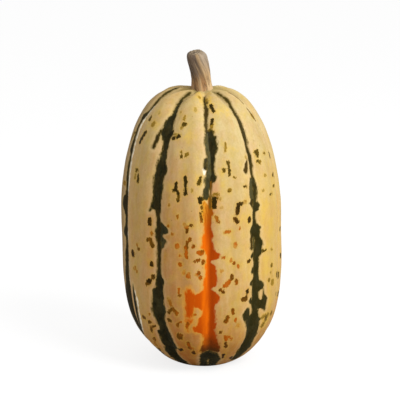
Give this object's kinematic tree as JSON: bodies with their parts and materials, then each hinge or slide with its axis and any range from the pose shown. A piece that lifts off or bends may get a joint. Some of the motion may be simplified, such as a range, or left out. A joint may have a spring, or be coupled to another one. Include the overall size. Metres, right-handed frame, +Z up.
{
  "type": "delicata squash",
  "caption": "Whole oblong winter squash with shallow ribs and a striped, speckled cream rind, standing on its blossom end with a cut woody stem at the crown.",
  "frame": {"origin": "centre of the flat spot at the blossom end, on the surface that the squash stands on", "axes": "+Z up along the fruit towards its stem; -Y towards the front, where the orange streak is; +X to the right seen from the front"},
  "size_m": [0.0973, 0.0958, 0.1887],
  "materials": {
    "rind": "smooth, waxy, semi-gloss rind in cream with dark green stripes, brown flecks and an orange streak",
    "stem": "dry, matt, fibrous and ridged, greyer towards the cut end"
  },
  "bodies": {
    "root": {"fruit": "rind", "stem": "stem"}
  },
  "joints": []
}
